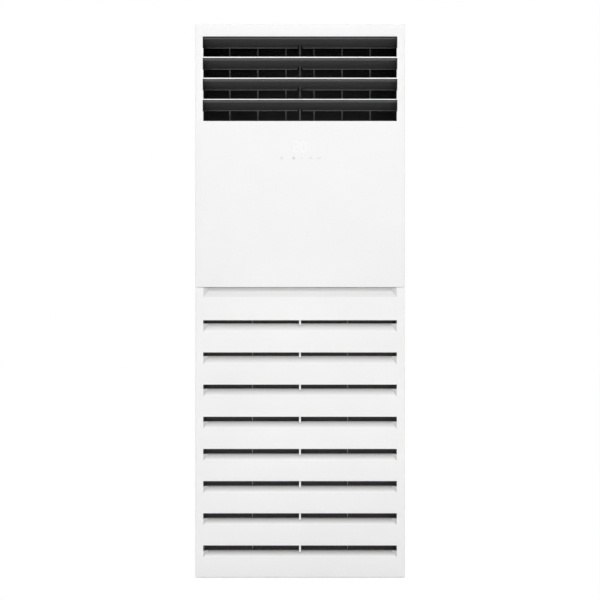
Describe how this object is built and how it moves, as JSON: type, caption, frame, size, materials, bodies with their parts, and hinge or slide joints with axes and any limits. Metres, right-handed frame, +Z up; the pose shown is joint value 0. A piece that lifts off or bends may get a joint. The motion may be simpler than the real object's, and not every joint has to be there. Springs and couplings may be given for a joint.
{
  "type": "floor standing air conditioner",
  "caption": "Tall white floor standing indoor air conditioner: louvred outlet at the top, slotted hinged intake panel below, blower and coil inside.",
  "frame": {"origin": "on the floor, under the middle of the cabinet's footprint", "axes": "+Z up, front faces -Y, +X to the right seen from the front"},
  "size_m": [0.7, 0.4, 1.85],
  "materials": {
    "white_abs": "satin",
    "coated_steel": "satin",
    "zinc_steel": "satin",
    "black_abs": "matte",
    "dark_grey_abs": "satin",
    "filter_net": "matte",
    "wheel_plastic": "matte",
    "machined_steel": "satin",
    "motor_shell": "satin",
    "fin_foil": "satin",
    "copper_tube": "satin",
    "brass_nut": "satin",
    "cream_plastic": "satin",
    "grey_hose": "matte",
    "circuit_board": "satin",
    "black_foam": "matte"
  },
  "bodies": {
    "cabinet": {"front_panel": "white_abs", "top_cover": "white_abs", "side_panel_left": "coated_steel", "side_panel_right": "coated_steel", "rear_panel": "coated_steel", "service_plate": "coated_steel", "pipe_plate": "coated_steel", "base_pan": "coated_steel", "wall_bracket": "zinc_steel", "front_crossbar": "zinc_steel", "inner_front_plate": "zinc_steel", "fan_deck": "zinc_steel", "scroll_housing": "zinc_steel", "scroll_front_cover": "zinc_steel", "motor_bracket": "zinc_steel", "tube_sheet_left": "zinc_steel", "tube_sheet_right": "zinc_steel", "control_box": "zinc_steel", "control_box_cover": "zinc_steel", "outlet_frame": "black_abs", "louver_strip_left": "black_abs", "louver_strip_right": "black_abs", "catch_left": "black_abs", "catch_right": "black_abs", "display_module": "black_abs", "inlet_ring": "machined_steel", "fan_motor": "motor_shell", "evaporator_fins_front": "fin_foil", "evaporator_fins_rear": "fin_foil", "evaporator_tube": "copper_tube", "gas_pipe": "copper_tube", "liquid_pipe": "copper_tube", "flare_nut_gas": "brass_nut", "flare_nut_liquid": "brass_nut", "drain_pan": "cream_plastic", "louver_motor": "cream_plastic", "vane_motor": "cream_plastic", "terminal_block": "cream_plastic", "drain_hose": "grey_hose", "control_pcb": "circuit_board", "duct_liner": "black_foam"},
    "intake_door": {"intake_grille": "white_abs"},
    "filter_left": {"filter_left": "filter_net"},
    "filter_right": {"filter_right": "filter_net"},
    "louver_1": {"louver_blade_1": "dark_grey_abs"},
    "louver_2": {"louver_blade_2": "dark_grey_abs"},
    "louver_3": {"louver_blade_3": "dark_grey_abs"},
    "louver_4": {"louver_blade_4": "dark_grey_abs"},
    "louver_link": {"louver_link_bar": "dark_grey_abs"},
    "vane_1": {"vane_1": "dark_grey_abs"},
    "vane_2": {"vane_2": "dark_grey_abs"},
    "vane_3": {"vane_3": "dark_grey_abs"},
    "vane_4": {"vane_4": "dark_grey_abs"},
    "vane_5": {"vane_5": "dark_grey_abs"},
    "vane_6": {"vane_6": "dark_grey_abs"},
    "vane_rod": {"vane_link_rod": "dark_grey_abs"},
    "blower": {"blower_wheel": "wheel_plastic", "blower_hub": "motor_shell", "blower_shaft": "machined_steel", "shaft_nut": "machined_steel"}
  },
  "joints": [
    {"name": "door_tilt", "type": "hinge", "parent": "cabinet", "child": "intake_door", "pos_m": [0, -0.192, 0.014], "axis": [1, 0, 0], "range_deg": [0, 25]},
    {"name": "filter_left_lift", "type": "slide", "parent": "intake_door", "child": "filter_left", "axis": [0, 0, 1], "range_m": [0, 0.025]},
    {"name": "filter_right_lift", "type": "slide", "parent": "intake_door", "child": "filter_right", "axis": [0, 0, 1], "range_m": [0, 0.025]},
    {"name": "louver_1_tilt", "type": "hinge", "parent": "cabinet", "child": "louver_1", "pos_m": [0, -0.191, 1.8035], "axis": [1, 0, 0], "range_deg": [-66, 23]},
    {"name": "louver_2_tilt", "type": "hinge", "parent": "cabinet", "child": "louver_2", "pos_m": [0, -0.191, 1.7319], "axis": [1, 0, 0], "range_deg": [-66, 23]},
    {"name": "louver_3_tilt", "type": "hinge", "parent": "cabinet", "child": "louver_3", "pos_m": [0, -0.191, 1.6619], "axis": [1, 0, 0], "range_deg": [-66, 23]},
    {"name": "louver_4_tilt", "type": "hinge", "parent": "cabinet", "child": "louver_4", "pos_m": [0, -0.191, 1.5919], "axis": [1, 0, 0], "range_deg": [-66, 23]},
    {"name": "louver_link_pin", "type": "hinge", "parent": "louver_1", "child": "louver_link", "pos_m": [0, -0.142, 1.7921], "axis": [1, 0, 0], "range_deg": [-23.5, 66.5]},
    {"name": "vane_1_turn", "type": "hinge", "parent": "cabinet", "child": "vane_1", "pos_m": [-0.23825, -0.092, 1.668], "axis": [0, 0, 1], "range_deg": [-35, 35]},
    {"name": "vane_2_turn", "type": "hinge", "parent": "cabinet", "child": "vane_2", "pos_m": [-0.14295, -0.092, 1.668], "axis": [0, 0, 1], "range_deg": [-35, 35]},
    {"name": "vane_3_turn", "type": "hinge", "parent": "cabinet", "child": "vane_3", "pos_m": [-0.04765, -0.092, 1.668], "axis": [0, 0, 1], "range_deg": [-35, 35]},
    {"name": "vane_4_turn", "type": "hinge", "parent": "cabinet", "child": "vane_4", "pos_m": [0.04765, -0.092, 1.668], "axis": [0, 0, 1], "range_deg": [-35, 35]},
    {"name": "vane_5_turn", "type": "hinge", "parent": "cabinet", "child": "vane_5", "pos_m": [0.14295, -0.092, 1.668], "axis": [0, 0, 1], "range_deg": [-35, 35]},
    {"name": "vane_6_turn", "type": "hinge", "parent": "cabinet", "child": "vane_6", "pos_m": [0.23825, -0.092, 1.668], "axis": [0, 0, 1], "range_deg": [-35, 35]},
    {"name": "vane_rod_pin", "type": "hinge", "parent": "vane_1", "child": "vane_rod", "pos_m": [-0.23825, -0.07, 1.668], "axis": [0, 0, 1], "range_deg": [-35.5, 35.5]},
    {"name": "blower_spin", "type": "hinge", "parent": "cabinet", "child": "blower", "pos_m": [0, 0, 0.56], "axis": [0, 1, 0], "continuous": true}
  ],
  "couplings": [
    {"joint": "louver_2_tilt", "follows": "louver_1_tilt", "ratio": 1},
    {"joint": "louver_3_tilt", "follows": "louver_1_tilt", "ratio": 1},
    {"joint": "louver_4_tilt", "follows": "louver_1_tilt", "ratio": 1},
    {"joint": "louver_link_pin", "follows": "louver_1_tilt", "ratio": -1},
    {"joint": "vane_2_turn", "follows": "vane_1_turn", "ratio": 1},
    {"joint": "vane_3_turn", "follows": "vane_1_turn", "ratio": 1},
    {"joint": "vane_4_turn", "follows": "vane_1_turn", "ratio": 1},
    {"joint": "vane_5_turn", "follows": "vane_1_turn", "ratio": 1},
    {"joint": "vane_6_turn", "follows": "vane_1_turn", "ratio": 1},
    {"joint": "vane_rod_pin", "follows": "vane_1_turn", "ratio": -1}
  ]
}
